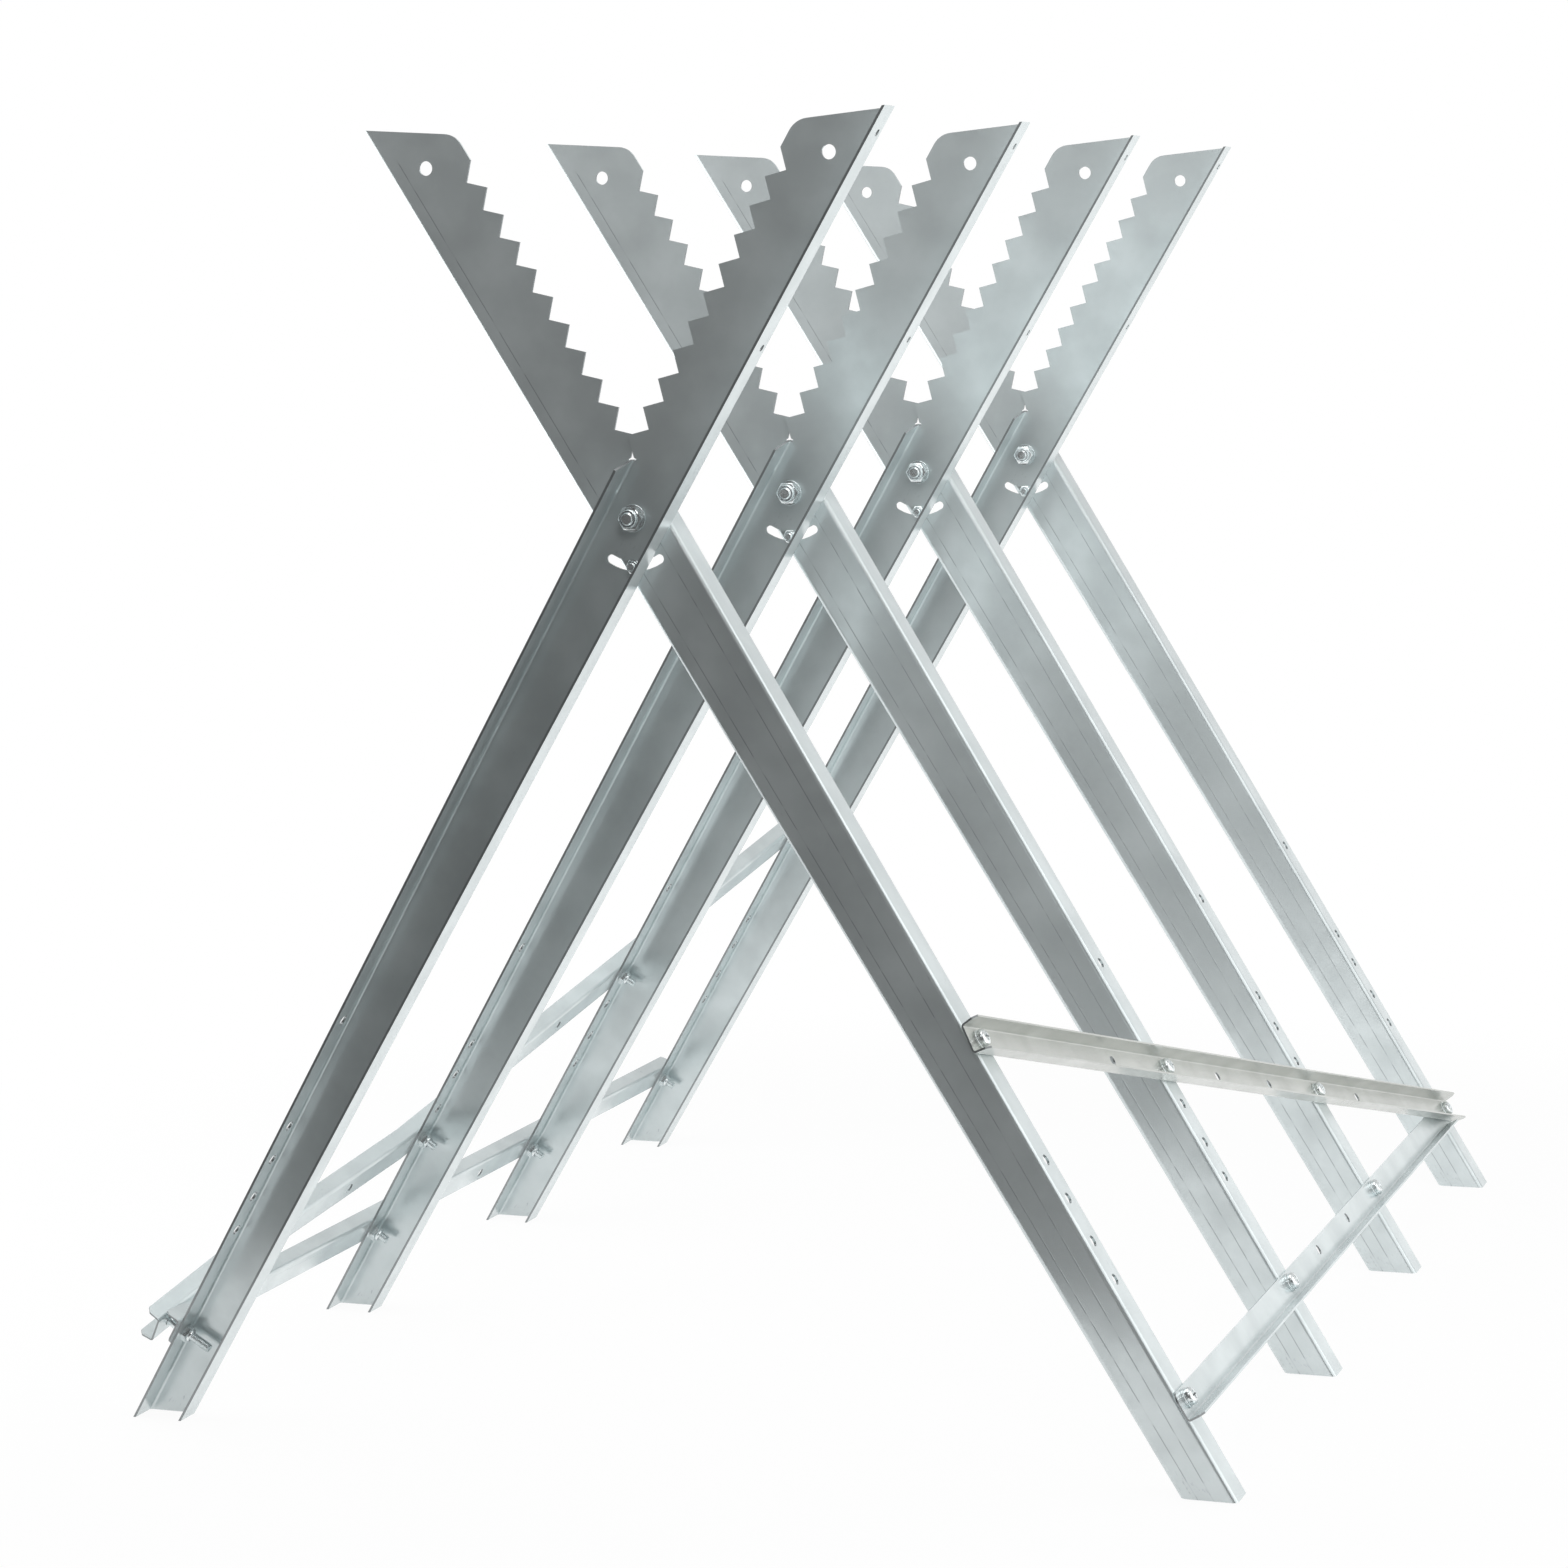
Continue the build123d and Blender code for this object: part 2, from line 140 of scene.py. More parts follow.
# Noise runs from 0 to 1. A span says between which of its values a look changes over.
NOISE_SPAN = (0.3, 0.7)  # where most of its values lie

# Zinc sheet: scales of the noise in features per metre, along X, Y and Z where it is drawn out
BLOOM_SCALE = 38.0
BLOOM_SHARE = 0.6
PATCH_SCALE = 11.0
CLOUD_COLOUR_SPAN = (0.38, 0.64)
CLOUD_GLOSS_SPAN = (0.35, 0.65)
HANDLED_SCALE = 21.0
HANDLED_SPAN = (0.60, 0.72)
GRAIN_SCALE = (500.0, 12.0, 500.0)
WAVE_SCALE = (25.0, 8.0, 25.0)
SCRATCH_SCALE = (700.0, 160.0, 700.0)
SCRATCH_SPAN = (0.56, 0.68)
SCRATCH_HARSHNESS = 0.7
GRAIN_HEIGHT = 0.004
WAVE_HEIGHT = 0.15
SCUFF_SHARE = 0.45
SHEET_ROUGHNESS = (0.26, 0.19)  # at the dull and the bright end
SHEET_METALLIC = (0.58, 0.44)
FLAT_FACING = 0.9  # a face that looks less than this along X or Z is a cut edge or a fold
END_FACING = 0.35  # a face that looks more than this along Y is a cut end
FOLD_MARGIN = 0.1
EDGE_MARGIN = 0.05

# Plating and nylon
PLATING_BLOOM = 260.0
PLATING_SPOTS = 700.0
PLATING_SPOT_SPAN = (0.58, 0.70)
PLATING_SPOT_SHARE = 0.35
PLATING_GRAIN = 1800.0
PLATING_GRAIN_HEIGHT = 0.012
PLATING_ROUGHNESS = (0.24, 0.16)
PLATING_METALLIC = (0.75, 0.90)
NYLON_GRAIN = 900.0
NYLON_GRAIN_HEIGHT = 0.02
NYLON_ROUGHNESS = (0.38, 0.52)

# Colours
ZINC = (0.80, 0.865, 0.873, 1.0)
ZINC_DULL = (0.715, 0.775, 0.783, 1.0)
WARM_ZINC = (0.69, 0.71, 0.68, 1.0)
WARM_ZINC_DULL = (0.61, 0.63, 0.60, 1.0)
DIAGONAL_ZINC = {"left": (ZINC_DULL, ZINC), "right": (WARM_ZINC_DULL, WARM_ZINC)}
CUT_STEEL = (0.33, 0.35, 0.355, 1.0)
DIE_LINE = (0.20, 0.215, 0.22, 1.0)
BRIGHT_ZINC = (0.93, 0.95, 0.955, 1.0)
NYLON = (0.75, 0.78, 0.80, 1.0)
NYLON_DULL = (0.60, 0.64, 0.68, 1.0)
WHITE = (1.0, 1.0, 1.0, 1.0)
PAPER = (0.9, 0.9, 0.9, 1.0)
PAPER_ROUGHNESS = 0.8

# Studio, in metres. A lamp has a centre, a direction, a width and height and the brightness of its face.
LAMPS = {
    "left_panel": ((-1.0, -0.15, 0.7), (1, 0.2, 0), (1.3, 1.3), 1.4),
    "right_panel": ((1.0, -0.1, 0.7), (-1, 0.2, 0), (1.3, 1.3), 1.1),
    "top_panel": ((-0.1, -0.2, 1.4), (0, 0.6, -0.8), (1.5, 1.1), 1.8),
    "front_lamp": ((0.5, -1.3, 1.25), (-0.5, 1.3, -0.65), (0.3, 0.3), 6.5),
}
FLOOR_SHEET = (-2.0, 2.0, -0.75, 3.0)  # left, right, front and back edges
FLOOR_WHITE = 0.95  # share of the floor's look that stays white, the rest shows the shadow
SHADOW_FADE = (0.6, 1.1)  # the shadow fades out between these distances from the middle
ROOM_LEVEL = 0.10  # brightness of the room behind the camera
ROOM_TO_SWEEP = (-0.5, 0.5)  # how far along Y a direction looks where the room turns into the sweep
SWEEP_TOP_LEVEL = 0.6  # brightness of the sweep above the horizon
SWEEP_RISE = (0.02, 0.3)  # how far up a direction looks where the sweep darkens

# Camera, found by matching the jaws, feet and bolts of the photograph
CAMERA_PLACE = (846.5, -2410.9, 681.6)
CAMERA_YAW = 20.597
CAMERA_PITCH = 7.284
CAMERA_ROLL = -1.526
CAMERA_LENS = 86.44
CAMERA_SENSOR = 36.0


def shift(x=0.0, y=0.0, z=0.0):
    return Matrix.Translation(Vector((x, y, z)) * MM)


def turn(angle, axis):
    return Matrix.Rotation(math.radians(angle), 4, axis)


def left_leg_place(y):
    """Place of a left leg: X across towards the long flange, Y up the leg, Z into the channel."""
    slope = math.radians(LEG_ANGLE)
    across = Vector((math.cos(slope), 0, -math.sin(slope)))
    along = Vector((math.sin(slope), 0, math.cos(slope)))
    axes = Matrix((across, along, Vector((0, -1, 0)))).transposed()
    return shift(0, y - RUNNING_GAP, PIVOT_HEIGHT) @ axes.to_4x4()


def right_leg_place(y):
    return turn(180, "Z") @ left_leg_place(-y)


def front_face(y, outward):
    """Place on the pivot line facing the -Y end, so far out from the middle of a frame."""
    return shift(0, y - outward, PIVOT_HEIGHT) @ turn(90, "X")


def back_face(y, outward):
    return shift(0, y + outward, PIVOT_HEIGHT) @ turn(180, "Z") @ turn(90, "X")


# Meshes are made of rings of points round the Z axis, joined from one ring to the next.
def ring_point(radius, angle, height):
    return Vector((radius * math.cos(angle), radius * math.sin(angle), height)) * MM


def circle(radius, height):
    return [ring_point(radius, 2 * math.pi * index / ROUND, height) for index in range(ROUND)]


def hexagon(across_flats, height, slope=0.0):
    """Ring with six corners. The height falls by slope for what the corners stand past the flats."""
    ring = []
    for index in range(ROUND):
        angle = 2 * math.pi * index / ROUND
        from_flat = (angle % (math.pi / 3)) - math.pi / 6
        radius = across_flats / 2 / math.cos(from_flat)
        drop = slope * max(0.0, radius - across_flats / 2)
        ring.append(ring_point(radius, angle, height - drop))
    return ring


def thread_rings(diameter, top, bottom):
    """Screw thread going down from top to bottom, with a tapered end."""
    pitch = THREAD_PITCH[diameter]
    crest = diameter / 2 - CREST_GAP
    depth = THREAD_DEPTH * pitch
    corners = ROUND // 2
    rows = max(2, round((top - bottom) / pitch * ROWS_PER_TURN))
    rings = []
    for row in range(rows + 1):
        height = top + (bottom - top) * row / rows
        to_end = height - bottom
        limit = crest - max(0.0, THREAD_TAPER * pitch - to_end)
        ring = []
        for index in range(corners):
            share = index / corners
            phase = (height / pitch + share) % 1.0
            radius = min(limit, crest - depth * abs(2 * phase - 1))
            ring.append(ring_point(radius, 2 * math.pi * share, height))
        rings.append(ring)
    return rings


def add_rings(mesh, rings, closed=False, cap_first=False, cap_last=False, material=0):
    """Skin a list of rings that all have the same number of points."""
    rows = [[mesh.verts.new(point) for point in ring] for ring in rings]
    pairs = list(zip(rows, rows[1:]))
    if closed:
        pairs.append((rows[-1], rows[0]))
    for lower, upper in pairs:
        for index in range(len(lower)):
            after = (index + 1) % len(lower)
            face = mesh.faces.new((lower[index], lower[after], upper[after], upper[index]))
            face.material_index = material
    if cap_first:
        mesh.faces.new(list(reversed(rows[0])))
    if cap_last:
        mesh.faces.new(rows[-1])


def merge_rings(mesh):
    bmesh.ops.remove_doubles(mesh, verts=mesh.verts, dist=MERGE_DISTANCE * MM)


def finished_mesh(name, mesh):
    bmesh.ops.recalc_face_normals(mesh, faces=mesh.faces)
    data = bpy.data.meshes.new(name)
    mesh.to_mesh(data)
    mesh.free()
    data.shade_smooth()
    data.set_sharp_from_angle(angle=math.radians(SHARP_ANGLE))
    return data


def washer_mesh(diameter):
    mesh = bmesh.new()
    outer = WASHER_DIAMETER[diameter] / 2
    inner = diameter / 2 + THREAD_GAP
    edge = WASHER_EDGE
    top = WASHER_THICKNESS
    profile = [(inner, 0), (outer - edge, 0), (outer, edge), (outer, top - edge)]
    profile += [(outer - edge, top), (inner + edge, top), (inner, top - edge)]
    add_rings(mesh, [circle(radius, height) for radius, height in profile], closed=True)
    return finished_mesh("washer", mesh)


def lock_nut_mesh(diameter):
    """Chamfered hexagon under a rolled collar that holds a nylon ring."""
    mesh = bmesh.new()
    height = LOCK_NUT_HEIGHT[diameter]
    flats = ACROSS_FLATS[diameter]
    inner = diameter / 2 + THREAD_GAP
    hex_top = NUT_HEX_TOP * height
    bore_widening, bore_rise = (share * height for share in NUT_BORE_CHAMFER)
    lower_rise, upper_rise = (share * height for share in NUT_CHAMFER_RISE)
    insert_edge = circle(NUT_INSERT_EDGE[0] * flats, NUT_INSERT_EDGE[1] * height)
    bore_edge = circle(inner, bore_rise)

    body = [bore_edge, circle(inner + bore_widening, 0), circle(NUT_FACE * flats, 0)]
    body += [hexagon(flats, lower_rise, -HEX_CHAMFER), hexagon(flats, hex_top - upper_rise, HEX_CHAMFER)]
    body += [circle(wide * flats, high * height) for wide, high in NUT_COLLAR]
    add_rings(mesh, body + [insert_edge])

    lip = circle(inner + NUT_INSERT_LIP[0], NUT_INSERT_LIP[1] * height)
    nylon_ring = [insert_edge, lip, circle(inner, NUT_INSERT_BORE * height), circle(inner, hex_top)]
    add_rings(mesh, nylon_ring, material=1)
    add_rings(mesh, [circle(inner, hex_top), bore_edge])
    merge_rings(mesh)
    return finished_mesh("lock_nut", mesh)


def bolt_end(mesh, diameter, head_radius, length, thread):
    """Plain shank under a head and a screw thread at its end."""
    root = diameter / 2 - CREST_GAP
    shank = [circle(head_radius, 0), circle(root + SHANK_FILLET, 0)]
    shank += [circle(root, -SHANK_FILLET), circle(root, thread - length)]
    add_rings(mesh, shank)
    add_rings(mesh, thread_rings(diameter, thread - length, -length), cap_first=True, cap_last=True)


def hex_bolt_mesh(diameter, length, thread):
    mesh = bmesh.new()
    flats = ACROSS_FLATS[diameter]
    height = HEX_HEAD_HEIGHT[diameter]
    face_radius = HEAD_FACE * flats
    rings = [circle(face_radius, 0), circle(face_radius, HEAD_FACE_RISE), hexagon(flats, HEAD_FACE_RISE)]
    rings += [hexagon(flats, height - HEAD_CHAMFER_DROP, HEX_CHAMFER), circle(HEAD_TOP * flats, height)]
    rings += [circle(HEAD_DISH * flats, height - HEAD_DISH_DROP)]
    add_rings(mesh, rings, cap_last=True)
    bolt_end(mesh, diameter, face_radius, length, thread)
    merge_rings(mesh)
    return finished_mesh("hex_bolt", mesh)


def cross_cutter():
    """Tapered cross that sinks the drive recess into a pan head."""
    mesh = bmesh.new()
    rings = []
    for reach, half, height in CROSS_LEVELS:
        ring = []
        for quarter in range(4):
            spin = Matrix.Rotation(quarter * math.pi / 2, 2)
            for corner in ((reach, -half), (reach, half), (half, half)):
                ring.append(Vector((*(spin @ Vector(corner)), height)) * MM)
        rings.append(ring)
    add_rings(mesh, rings, cap_first=True, cap_last=True)
    return finished_mesh("cross_cutter", mesh)


def pan_head_mesh():
    """Domed head with a cross recess."""
    mesh = bmesh.new()
    radius = PAN_HEAD_DIAMETER / 2
    inset, edge_rise = PAN_HEAD_EDGE
    dome_rise = PAN_HEAD_HEIGHT - PAN_HEAD_SIDE
    rings = [circle(radius - inset, 0), circle(radius, edge_rise), circle(radius, PAN_HEAD_SIDE)]
    for step in range(1, PAN_DOME_STEPS + 1):
        lift = math.radians(step * PAN_DOME_STEP)
        reach = PAN_DOME_REACH * (1 - math.cos(lift))
        rings.append(circle(radius - reach, PAN_HEAD_SIDE + dome_rise * math.sin(lift)))
    add_rings(mesh, rings, cap_first=True, cap_last=True)
    head = bpy.data.objects.new("pan_head_form", finished_mesh("pan_head", mesh))
    cutter = bpy.data.objects.new("cross_form", cross_cutter())
    for form in (head, cutter):
        bpy.context.scene.collection.objects.link(form)
    cut = head.modifiers.new("cross", "BOOLEAN")
    cut.object = cutter
    cut.operation = "DIFFERENCE"
    cut.solver = "EXACT"
    bpy.context.view_layer.update()
    evaluated = head.evaluated_get(bpy.context.evaluated_depsgraph_get())
    data = bpy.data.meshes.new_from_object(evaluated)
    for form in (head, cutter):
        bpy.data.objects.remove(form)
    return data


def pan_bolt_mesh(head_mesh, diameter, length, thread):
    mesh = bmesh.new()
    mesh.from_mesh(head_mesh)
    bolt_end(mesh, diameter, PAN_HEAD_DIAMETER / 2 - PAN_SEAT_INSET, length, thread)
    return finished_mesh("pan_bolt", mesh)


def fasteners(node, body, template, places, materials):
    """One piece that holds a template mesh at every place and stands for a CAD node."""
    mesh = bmesh.new()
    for place in places:
        copy = template.copy()
        copy.transform(place)
        mesh.from_mesh(copy)
        bpy.data.meshes.remove(copy)
    data = bpy.data.meshes.new(node + "_detail")
    mesh.to_mesh(data)
    mesh.free()
    piece = bpy.data.objects.new(node + "_detail", data)
    bpy.context.scene.collection.objects.link(piece)
    for material in materials:
        data.materials.append(material)
    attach(piece, body)
    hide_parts(node)


class Graph:
    """The node tree of a material or a world, with short ways to add nodes and pass sockets on."""

    def __init__(self, owner):
        owner.use_nodes = True
        self.owner = owner
        self.tree = owner.node_tree
        self.shader = self.tree.nodes.get("Principled BSDF")

    def set(self, node, name, value):
        if isinstance(value, bpy.types.NodeSocket):
            self.tree.links.new(value, node.inputs[name])
        else:
            node.inputs[name].default_value = value

    def add(self, kind, inputs, **settings):
        node = self.tree.nodes.new("ShaderNode" + kind)
        for name, value in settings.items():
            setattr(node, name, value)
        for name, value in inputs.items():
            self.set(node, name, value)
        return node

    def math(self, operation, first, second=0.0):
        return self.add("Math", {0: first, 1: second}, operation=operation).outputs[0]

    def times(self, first, second):
        return self.math("MULTIPLY", first, second)

    def larger(self, first, second):
        return self.math("MAXIMUM", first, second)

    def below(self, value, limit):
        return self.math("LESS_THAN", value, limit)

    def above(self, value, limit):
        return self.math("GREATER_THAN", value, limit)

    def mix(self, share, first, second):
        node = self.add("Mix", {"Factor": share, 6: first, 7: second}, data_type="RGBA")
        return node.outputs[2]

    def ease(self, value, low, high, to_low=0.0, to_high=1.0):
        inputs = {"Value": value, "From Min": low, "From Max": high}
        inputs.update({"To Min": to_low, "To Max": to_high})
        return self.add("MapRange", inputs, interpolation_type="SMOOTHSTEP").outputs[0]

    def noise(self, vector, scale, detail=3.0, roughness=0.5):
        inputs = {"Vector": vector, "Scale": scale, "Detail": detail, "Roughness": roughness}
        return self.add("TexNoise", inputs).outputs["Fac"]

    def drawn_noise(self, vector, scale, detail=3.0, roughness=0.5):
        """Noise with a scale of its own along each axis."""
        stretched = self.add("Mapping", {"Vector": vector, "Scale": scale}).outputs[0]
        return self.noise(stretched, 1.0, detail, roughness)

    def spot(self):
        return self.add("TexCoord", {}).outputs["Object"]

    def local(self, place):
        """Coordinates in metres in the frame of a piece, so that grain runs along it."""
        inputs = {"Vector": self.spot(), "Location": place.translation, "Rotation": place.to_euler()}
        return self.add("Mapping", inputs, vector_type="TEXTURE").outputs[0]

    def facing(self, place):
        """How far a face looks along X, Y and Z of a piece, without the sign."""
        normal = self.add("TexCoord", {}).outputs["Normal"]
        inputs = {"Vector": normal, "Rotation": place.to_euler()}
        turned = self.add("Mapping", inputs, vector_type="TEXTURE").outputs[0]
        size = self.add("VectorMath", {0: turned}, operation="ABSOLUTE").outputs[0]
        return self.add("SeparateXYZ", {0: size}).outputs

    def near(self, value, middle, width):
        """One on a thin line where the value is near the middle, fading to nothing at its sides."""
        distance = self.math("ABSOLUTE", self.math("SUBTRACT", value, middle))
        return self.ease(distance, 0.0, width, 1.0, 0.0)

    def finish(self, colour, height):
        """Join the colour and the height in millimetres to the shader."""
        self.set(self.shader, "Base Color", colour)
        bump = self.add("Bump", {"Height": height, "Strength": 1.0, "Distance": MM})
        self.set(self.shader, "Normal", bump.outputs[0])
        return self.owner


def material_graph(name):
    return Graph(bpy.data.materials.new(name))


def zinc_sheet(name, place, dull, bright):
    """Rolled zinc-coated sheet: cloudy bloom, rolling grain, gentle waves and scuffs."""
    graph = material_graph(name)
    spot = graph.local(place)
    bloom = graph.noise(spot, BLOOM_SCALE, detail=4.0)
    patches = graph.noise(spot, PATCH_SCALE, detail=2.0)
    cloud = graph.math("ADD", graph.times(bloom, BLOOM_SHARE), graph.times(patches, 1.0 - BLOOM_SHARE))
    grain = graph.drawn_noise(spot, GRAIN_SCALE, detail=2.0)
    wave = graph.drawn_noise(spot, WAVE_SCALE, detail=1.0)
    scratch = graph.drawn_noise(spot, SCRATCH_SCALE, roughness=SCRATCH_HARSHNESS)
    handled = graph.ease(graph.noise(spot, HANDLED_SCALE), *HANDLED_SPAN)
    scuff = graph.times(graph.ease(scratch, *SCRATCH_SPAN), handled)
    colour = graph.mix(graph.ease(cloud, *CLOUD_COLOUR_SPAN), dull, bright)
    colour = graph.mix(graph.times(scuff, SCUFF_SHARE), colour, CUT_STEEL)
    graph.set(graph.shader, "Roughness", graph.ease(cloud, *CLOUD_GLOSS_SPAN, *SHEET_ROUGHNESS))
    graph.set(graph.shader, "Metallic", graph.ease(patches, *NOISE_SPAN, *SHEET_METALLIC))
    height = graph.math("ADD", graph.times(grain, GRAIN_HEIGHT), graph.times(wave, WAVE_HEIGHT))
    return graph, spot, colour, height


def leg_sheet(name, place):
    """Zinc sheet of a leg, with dark cut edges and the lines that the folding tool left on the web."""
    graph, spot, colour, height = zinc_sheet(name, place, ZINC_DULL, ZINC)
    across, along, depth = graph.add("SeparateXYZ", {"Vector": spot}).outputs
    facing = graph.facing(place)
    taper = math.tan(math.radians(SHORT_TAPER))
    from_short = graph.math("ADD", across, graph.times(along, taper))

    fold_reach = LEG_BEND + FOLD_MARGIN
    in_long_fold = graph.above(across, (LONG_EDGE - fold_reach) * MM)
    in_short_fold = graph.below(from_short, (fold_reach - SHORT_EDGE) * MM)
    in_fold = graph.times(graph.larger(in_long_fold, in_short_fold), graph.below(depth, fold_reach * MM))
    cut = graph.below(graph.larger(facing[0], facing[2]), FLAT_FACING)
    cut = graph.times(cut, graph.math("SUBTRACT", 1.0, in_fold))
    cut = graph.larger(cut, graph.above(facing[1], END_FACING))
    cut = graph.larger(cut, graph.above(depth, (FLANGE_DEPTH - EDGE_MARGIN) * MM))

    width = DIE_LINE_WIDTH * MM
    short_line = graph.near(from_short, (SHORT_DIE_LINE - SHORT_EDGE) * MM, width)
    short_line = graph.times(short_line, graph.below(along, 0.0))
    long_line = graph.near(across, (LONG_EDGE - LONG_DIE_LINE) * MM, width)
    long_line = graph.times(long_line, graph.below(along, (JAW_TIP - DIE_LINE_BELOW_TIP) * MM))
    broken = graph.ease(graph.drawn_noise(spot, DIE_LINE_BREAKS, detail=2.0), *DIE_LINE_BREAK_SPAN)
    strength = graph.ease(broken, 0.0, 1.0, DIE_LINE_FAINTEST, 1.0)
    line = graph.times(graph.larger(short_line, long_line), strength)
    line = graph.times(line, graph.below(depth, LEG_SHEET / 2 * MM))
    height = graph.math("SUBTRACT", height, graph.times(line, DIE_LINE_DEPTH))
    colour = graph.mix(graph.times(line, DIE_LINE_SHARE), colour, DIE_LINE)
    return graph.finish(graph.mix(cut, colour, CUT_STEEL), height)


def brace_sheet(name, place, dull, bright):
    graph, _, colour, height = zinc_sheet(name, place, dull, bright)
    cut = graph.above(graph.facing(place)[1], END_FACING)
    return graph.finish(graph.mix(cut, colour, CUT_STEEL), height)


def bright_zinc(name):
    """Electroplated zinc on the bolts, nuts and washers, dulled in spots by handling."""
    graph = material_graph(name)
    spot = graph.spot()
    bloom = graph.noise(spot, PLATING_BLOOM)
    handled = graph.ease(graph.noise(spot, PLATING_SPOTS), *PLATING_SPOT_SPAN)
    colour = graph.mix(bloom, ZINC, BRIGHT_ZINC)
    colour = graph.mix(graph.times(handled, PLATING_SPOT_SHARE), colour, CUT_STEEL)
    graph.set(graph.shader, "Roughness", graph.ease(bloom, *NOISE_SPAN, *PLATING_ROUGHNESS))
    graph.set(graph.shader, "Metallic", graph.ease(bloom, *NOISE_SPAN, *PLATING_METALLIC))
    grain = graph.noise(spot, PLATING_GRAIN, detail=2.0)
    return graph.finish(colour, graph.times(grain, PLATING_GRAIN_HEIGHT))


def nylon(name):
    """Milky insert of a lock nut."""
    graph = material_graph(name)
    grain = graph.noise(graph.spot(), NYLON_GRAIN, detail=2.0)
    graph.set(graph.shader, "Roughness", graph.ease(grain, *NOISE_SPAN, *NYLON_ROUGHNESS))
    return graph.finish(graph.mix(grain, NYLON_DULL, NYLON), graph.times(grain, NYLON_GRAIN_HEIGHT))


def dress(node, material):
    """Give a CAD node its own material."""
    piece = nodes[node]
    piece.data.materials.clear()
    piece.data.materials.append(material)


for number, y in enumerate(ROW, start=1):
    dress(f"left_leg_{number}", leg_sheet(f"zinc_left_leg_{number}", left_leg_place(y)))
    dress(f"right_leg_{number}", leg_sheet(f"zinc_right_leg_{number}", right_leg_place(y)))

# Braces and their bolts, on both sides
plating = bright_zinc("bright_zinc")
insert = nylon("nylon_insert")
pan_head = pan_head_mesh()
short_bolt = pan_bolt_mesh(pan_head, BRACE_BOLT, *SHORT_LENGTHS)
shared_bolts = {side: pan_bolt_mesh(pan_head, BRACE_BOLT, *SHARED_LENGTHS[side]) for side in SHARED_LENGTHS}
brace_washer = washer_mesh(BRACE_BOLT)
brace_nut = lock_nut_mesh(BRACE_BOLT)
stand_off = {"left": ANGLE_FLANGE, "right": BRACE_SHEET}  # of the diagonal at the shared bolt
# Steps from a brace hole in a leg's flange: onto the brace, onto the washer, and inside the leg
on_sheet = shift(0, 0, BRACE_SHEET)
on_washer = shift(0, 0, WASHER_THICKNESS)
inside = shift(0, 0, -LEG_SHEET) @ turn(180, "X")
lengthwise = turn(90, "Z")
other_legs = range(1, FRAME_COUNT)

first_legs = {"left": left_leg_place(ROW[0]), "right": right_leg_place(ROW[-1])}
for side, leg in first_legs.items():
    body = side + "_set"
    fold = leg @ shift(-SHORT_EDGE, 0, 0) @ turn(SHORT_TAPER, "Z")
    shared = fold @ shift(0, -BRACE_DROP, FLANGE_DEPTH / 2) @ turn(-90, "Y")
    diagonal = shared @ turn(180 - DIAGONAL_ANGLE, "Z")
    shared_seat = diagonal @ shift(0, 0, stand_off[side]) @ on_sheet
    seats = [shared @ shift(-step * FRAME_PITCH) @ on_sheet for step in other_legs]
    seats += [diagonal @ shift(step * DIAGONAL_STEP) @ on_sheet for step in other_legs]
    heads = [seat @ on_washer for seat in seats]
    nuts = [shared @ shift(-step * FRAME_PITCH) @ inside for step in other_legs]
    nuts += [shared @ shift(-step * FRAME_PITCH, step * BRACE_RISE) @ inside for step in other_legs]
    plain = brace_sheet(f"zinc_{side}_lower", shared @ lengthwise, ZINC_DULL, ZINC)
    dress(side + "_lower_brace", plain)
    slanted = brace_sheet(f"zinc_{side}_diagonal", diagonal @ lengthwise, *DIAGONAL_ZINC[side])
    dress(side + "_diagonal_brace", slanted)
    fasteners(side + "_brace_bolts", body, short_bolt, heads, [plating])
    fasteners(side + "_brace_washers", body, brace_washer, seats, [plating])
    fasteners(side + "_brace_nuts", body, brace_nut, nuts, [plating, insert])
    fasteners(side + "_shared_bolt", body, shared_bolts[side], [shared_seat @ on_washer], [plating])
    fasteners(side + "_shared_bolt_washer", body, brace_washer, [shared_seat], [plating])
    fasteners(side + "_shared_bolt_nut", body, brace_nut, [shared @ inside], [plating, insert])

# Pivots, which stay with the left legs, and the stop bolts in the arc slots
web_face = RUNNING_GAP + LEG_SHEET
clear_face = web_face + RUNNING_GAP
in_slot = shift(0, -STOP_RADIUS, 0)
head_seats = [back_face(y, clear_face) for y in ROW]
nut_seats = [front_face(y, web_face) for y in ROW]
pivot_heads = [back_face(y, clear_face + WASHER_THICKNESS) for y in ROW]
pivot_nuts = [front_face(y, web_face + WASHER_THICKNESS) for y in ROW]
stop_heads = [back_face(y, clear_face) @ in_slot for y in ROW]
stop_nuts = [front_face(y, clear_face) @ in_slot for y in ROW]
pivot_washer = washer_mesh(PIVOT_BOLT)
fasteners("pivot_bolts", "left_set", hex_bolt_mesh(PIVOT_BOLT, *PIVOT_LENGTHS), pivot_heads, [plating])
fasteners("pivot_head_washers", "left_set", pivot_washer, head_seats, [plating])
fasteners("pivot_nut_washers", "left_set", pivot_washer, nut_seats, [plating])
fasteners("pivot_nuts", "left_set", lock_nut_mesh(PIVOT_BOLT), pivot_nuts, [plating, insert])
fasteners("stop_bolts", "stop_set", hex_bolt_mesh(STOP_BOLT, *STOP_LENGTHS), stop_heads, [plating])
fasteners("stop_nuts", "stop_set", lock_nut_mesh(STOP_BOLT), stop_nuts, [plating, insert])


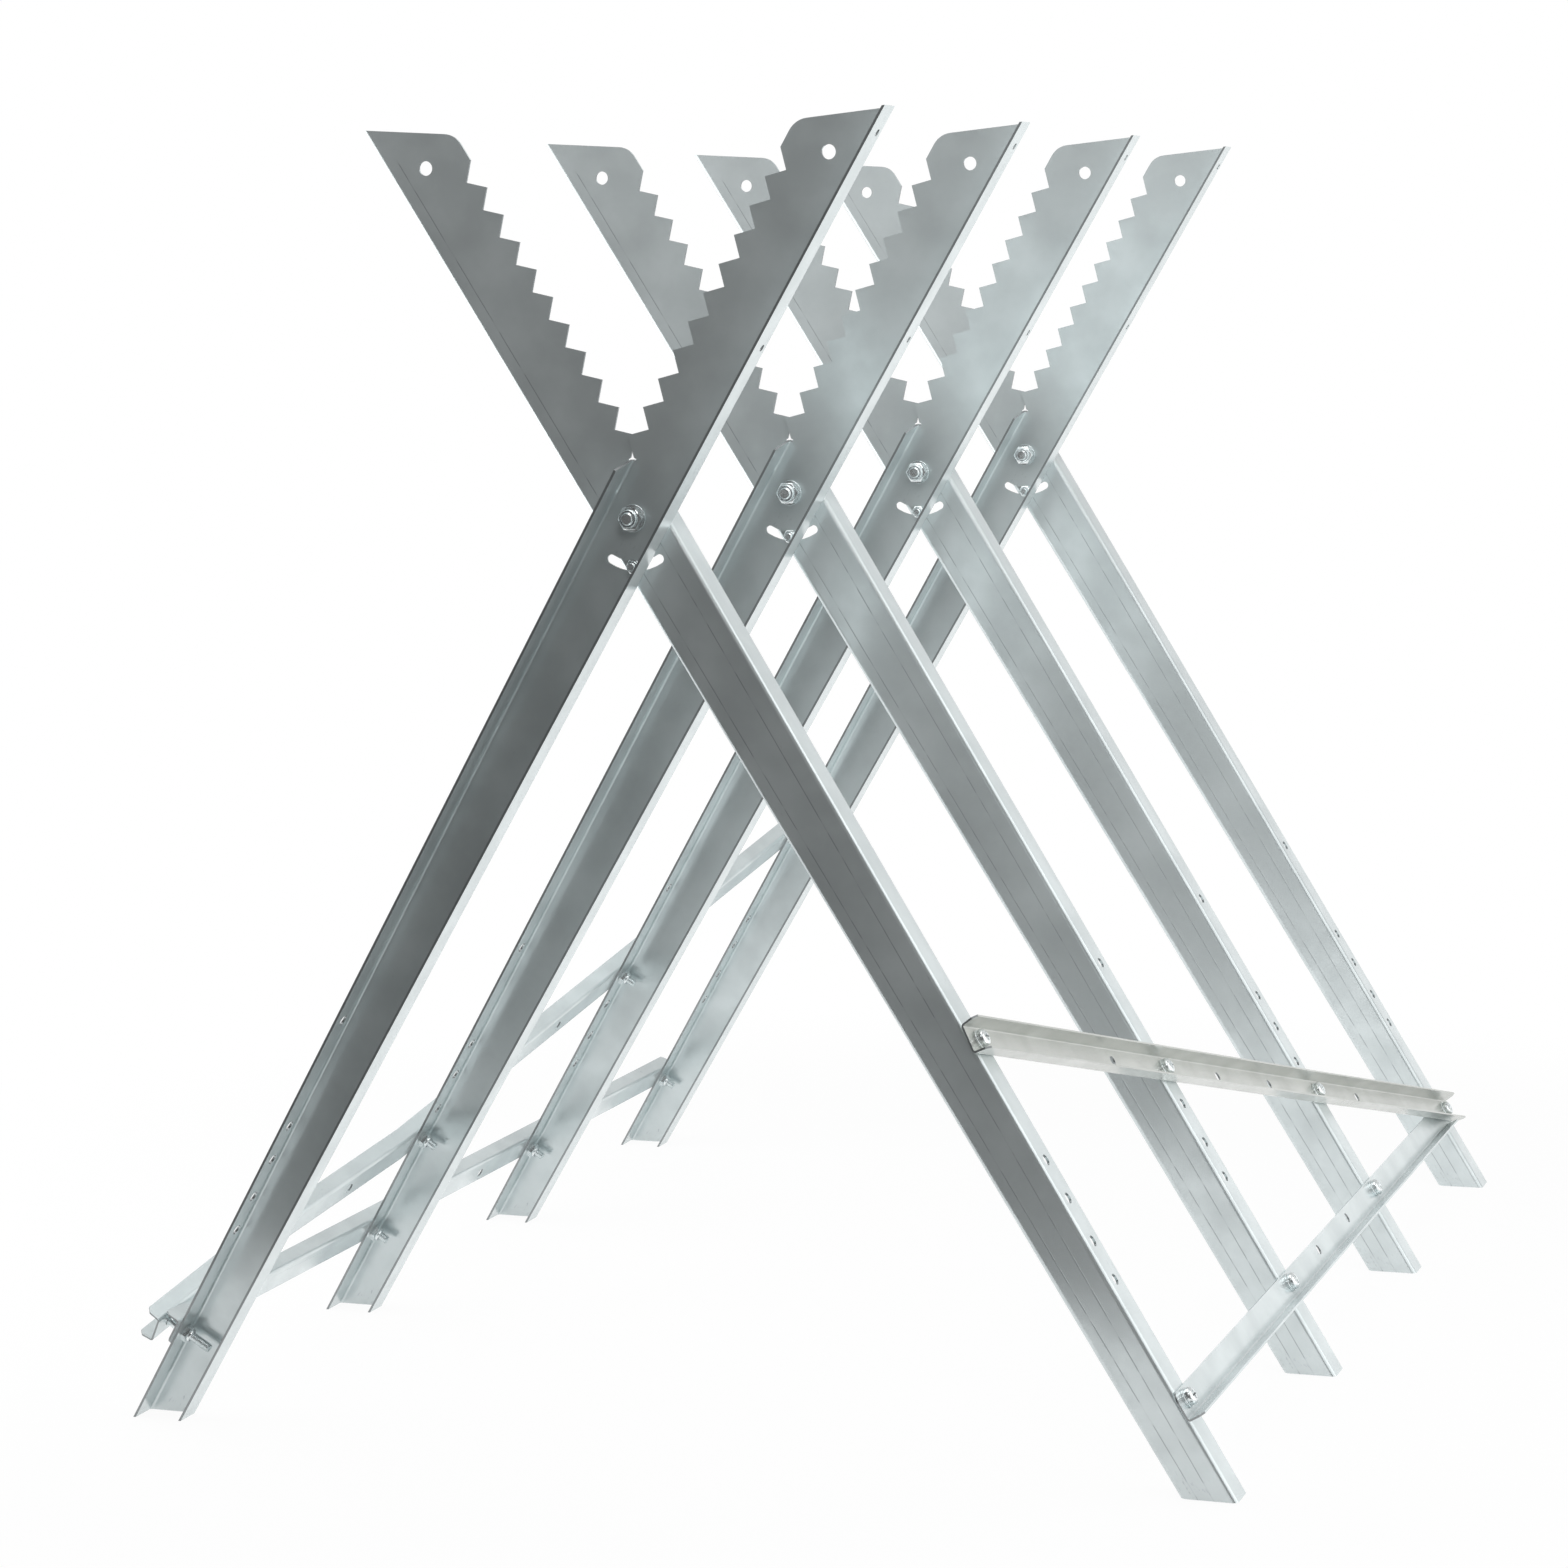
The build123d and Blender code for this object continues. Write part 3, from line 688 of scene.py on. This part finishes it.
# Studio: three soft panels and a small lamp, a white floor sheet, a white sweep behind, a dark room in front
def lamp(name, centre, direction, size, radiance):
    """Soft box that the camera does not see."""
    light = bpy.data.lights.new(name, "AREA")
    light.shape = "RECTANGLE"
    light.size, light.size_y = size
    light.energy = radiance * math.pi * size[0] * size[1]
    piece = bpy.data.objects.new(name, light)
    bpy.context.scene.collection.objects.link(piece)
    aim = Vector(direction).to_track_quat("-Z", "Y")
    piece.matrix_world = Matrix.Translation(centre) @ aim.to_matrix().to_4x4()
    piece.visible_camera = False


for name, settings in LAMPS.items():
    lamp(name, *settings)

floor_mesh = bpy.data.meshes.new("floor")
left_edge, right_edge, front_edge, back_edge = FLOOR_SHEET
corners = [(left_edge, front_edge, 0), (right_edge, front_edge, 0)]
corners += [(right_edge, back_edge, 0), (left_edge, back_edge, 0)]
floor_mesh.from_pydata(corners, [], [(0, 1, 2, 3)])
floor = bpy.data.objects.new("floor", floor_mesh)
bpy.context.scene.collection.objects.link(floor)
paper = material_graph("floor_paper")
paper.set(paper.shader, "Base Color", PAPER)
paper.set(paper.shader, "Roughness", PAPER_ROUGHNESS)
ray = paper.add("LightPath", {}).outputs
white = paper.add("Emission", {"Color": WHITE, "Strength": 1.0}).outputs[0]
away = paper.add("VectorMath", {0: paper.spot()}, operation="LENGTH").outputs["Value"]
cover = paper.times(ray["Is Camera Ray"], paper.ease(away, *SHADOW_FADE, FLOOR_WHITE, 1.0))
cover = paper.larger(cover, ray["Is Glossy Ray"])
blend = paper.add("MixShader", {0: cover, 1: paper.shader.outputs[0], 2: white}).outputs[0]
paper.set(paper.tree.nodes["Material Output"], "Surface", blend)
paper.owner.cycles.emission_sampling = "NONE"
floor_mesh.materials.append(paper.owner)

world = bpy.data.worlds.new("studio")
bpy.context.scene.world = world
world.cycles.sampling_method = "NONE"
sky = Graph(world)
background = sky.tree.nodes["Background"]
direction = sky.add("SeparateXYZ", {0: sky.add("TexCoord", {}).outputs["Generated"]}).outputs
sweep = sky.ease(direction["Y"], *ROOM_TO_SWEEP, ROOM_LEVEL, 1.0)
sweep = sky.times(sweep, sky.ease(direction["Z"], *SWEEP_RISE, 1.0, SWEEP_TOP_LEVEL))
sweep = sky.larger(sweep, sky.add("LightPath", {}).outputs["Is Camera Ray"])
sky.set(background, "Color", WHITE)
sky.set(background, "Strength", sweep)

# Camera
yaw = math.radians(CAMERA_YAW)
pitch = math.radians(CAMERA_PITCH)
level = Vector((-math.sin(yaw), math.cos(yaw), 0))
forward = level * math.cos(pitch) - Vector((0, 0, math.sin(pitch)))
rightward = Vector((math.cos(yaw), math.sin(yaw), 0))
camera_axes = Matrix((rightward, rightward.cross(forward), -forward)).transposed().to_4x4()
camera = bpy.data.objects.new("camera", bpy.data.cameras.new("camera"))
bpy.context.scene.collection.objects.link(camera)
camera.data.lens = CAMERA_LENS
camera.data.sensor_width = CAMERA_SENSOR
camera.matrix_world = shift(*CAMERA_PLACE) @ camera_axes @ turn(CAMERA_ROLL, "Z")
bpy.context.scene.camera = camera
bpy.context.scene.view_settings.view_transform = "Standard"
